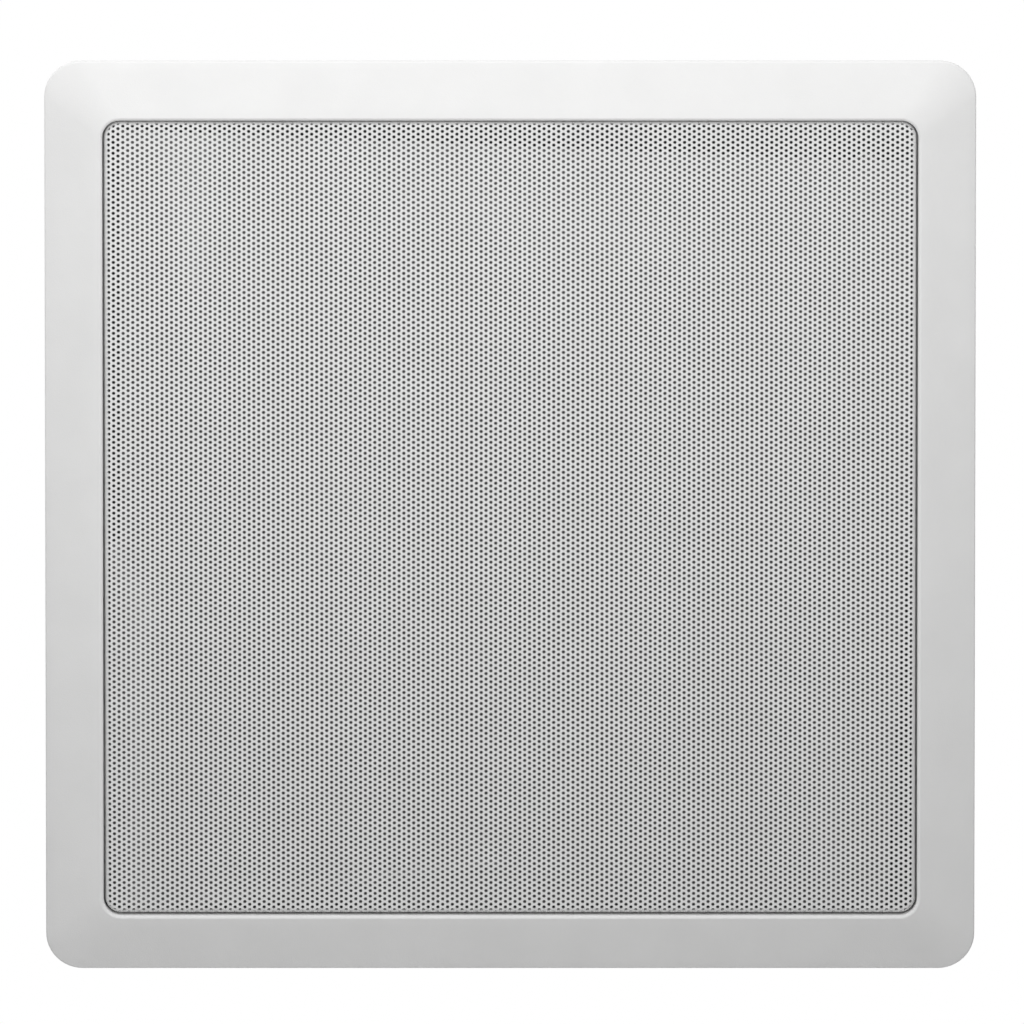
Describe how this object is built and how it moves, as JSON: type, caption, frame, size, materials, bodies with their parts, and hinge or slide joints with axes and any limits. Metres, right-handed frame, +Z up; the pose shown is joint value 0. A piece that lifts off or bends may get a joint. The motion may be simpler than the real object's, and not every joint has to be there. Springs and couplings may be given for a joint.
{
  "type": "in wall speaker",
  "caption": "Square flush loudspeaker for a wall: sloping white bezel, perforated metal grille over cloth, coaxial driver and swing-out clamps behind.",
  "frame": {"origin": "centre of the bezel's back face, which lies on the wall's surface", "axes": "+X to the right seen from the room, +Y into the wall, +Z up; the front faces -Y"},
  "size_m": [0.33, 0.1075, 0.33],
  "materials": {
    "frame_plastic": "satin white moulding",
    "grille_paint": "satin white powder coat",
    "scrim_cloth": "thin light grey cloth",
    "foam": "matt foam",
    "basket_paint": "satin black",
    "black_steel": "blackened",
    "surround_rubber": "matt",
    "cone_paper": "matt pressed paper",
    "spider_cloth": "stiffened cloth",
    "former_foil": "bright",
    "copper": "enamelled copper wire",
    "plated_steel": "zinc plated",
    "ferrite": "ground ferrite",
    "black_plastic": "matt",
    "nickel": "nickel plated",
    "dome_cloth": "coated cloth",
    "zinc_steel": "bright zinc",
    "clamp_nylon": "natural nylon",
    "board_green": "lacquered laminate",
    "capacitor_blue": "shrunk sleeve",
    "resistor_ceramic": "matt",
    "red_plastic": "moulded",
    "tag_brown": "laminated paper",
    "tin_brass": "tinned"
  },
  "bodies": {
    "chassis": {"frame": "frame_plastic", "grille": "grille_paint", "grille_scrim": "scrim_cloth", "woofer_gasket": "foam", "woofer_basket": "basket_paint", "woofer_screws": "black_steel", "woofer_surround": "surround_rubber", "spider": "spider_cloth", "top_plate": "plated_steel", "magnet": "ferrite", "pole_yoke": "plated_steel", "tweeter_post": "plated_steel", "post_nut": "plated_steel", "tweeter_housing": "black_plastic", "tweeter_yoke": "plated_steel", "tweeter_magnet": "nickel", "tweeter_plate": "plated_steel", "tweeter_face": "black_plastic", "crossover_board": "board_green", "crossover_screws": "zinc_steel", "crossover_inductor": "copper", "capacitor_large": "capacitor_blue", "capacitor_small": "capacitor_blue", "crossover_resistor": "resistor_ceramic", "terminal_base": "black_plastic", "woofer_tag_board": "tag_brown", "woofer_lugs": "tin_brass"},
    "cone_assembly": {"woofer_cone": "cone_paper", "coil_former": "former_foil", "voice_coil": "copper"},
    "dome_assembly": {"tweeter_dome": "dome_cloth", "tweeter_coil": "copper"},
    "tab_red": {"terminal_tab_red": "red_plastic"},
    "tab_black": {"terminal_tab_black": "black_plastic"},
    "screw_top_right": {"clamp_screw_top_right": "zinc_steel"},
    "dog_top_right": {"clamp_top_right": "clamp_nylon"},
    "screw_top_left": {"clamp_screw_top_left": "zinc_steel"},
    "dog_top_left": {"clamp_top_left": "clamp_nylon"},
    "screw_bottom_right": {"clamp_screw_bottom_right": "zinc_steel"},
    "dog_bottom_right": {"clamp_bottom_right": "clamp_nylon"},
    "screw_bottom_left": {"clamp_screw_bottom_left": "zinc_steel"},
    "dog_bottom_left": {"clamp_bottom_left": "clamp_nylon"}
  },
  "joints": [
    {"name": "cone_travel", "type": "slide", "parent": "chassis", "child": "cone_assembly", "axis": [0, -1, 0], "range_m": [-0.004, 0.004], "stiffness_N_per_m": 1500, "deforming": ["woofer_surround", "spider"]},
    {"name": "dome_travel", "type": "slide", "parent": "chassis", "child": "dome_assembly", "axis": [0, -1, 0], "range_m": [-0.0003, 0.0003], "stiffness_N_per_m": 1500, "deforming": ["tweeter_dome"]},
    {"name": "clamp_swing_top_right", "type": "hinge", "parent": "chassis", "child": "screw_top_right", "pos_m": [0.126, 0, 0.126], "axis": [0, -1, 0], "range_deg": [0, 90]},
    {"name": "clamp_travel_top_right", "type": "slide", "parent": "screw_top_right", "child": "dog_top_right", "axis": [0, -1, 0], "range_m": [0, 0.0295]},
    {"name": "clamp_swing_top_left", "type": "hinge", "parent": "chassis", "child": "screw_top_left", "pos_m": [-0.126, 0, 0.126], "axis": [0, 1, 0], "range_deg": [0, 90]},
    {"name": "clamp_travel_top_left", "type": "slide", "parent": "screw_top_left", "child": "dog_top_left", "axis": [0, -1, 0], "range_m": [0, 0.0295]},
    {"name": "clamp_swing_bottom_right", "type": "hinge", "parent": "chassis", "child": "screw_bottom_right", "pos_m": [0.126, 0, -0.126], "axis": [0, 1, 0], "range_deg": [0, 90]},
    {"name": "clamp_travel_bottom_right", "type": "slide", "parent": "screw_bottom_right", "child": "dog_bottom_right", "axis": [0, -1, 0], "range_m": [0, 0.0295]},
    {"name": "clamp_swing_bottom_left", "type": "hinge", "parent": "chassis", "child": "screw_bottom_left", "pos_m": [-0.126, 0, -0.126], "axis": [0, -1, 0], "range_deg": [0, 90]},
    {"name": "clamp_travel_bottom_left", "type": "slide", "parent": "screw_bottom_left", "child": "dog_bottom_left", "axis": [0, -1, 0], "range_m": [0, 0.0295]},
    {"name": "tab_travel_red", "type": "slide", "parent": "chassis", "child": "tab_red", "axis": [0, -1, 0], "range_m": [0, 0.003], "stiffness_N_per_m": 400},
    {"name": "tab_travel_black", "type": "slide", "parent": "chassis", "child": "tab_black", "axis": [0, -1, 0], "range_m": [0, 0.003], "stiffness_N_per_m": 400}
  ]
}
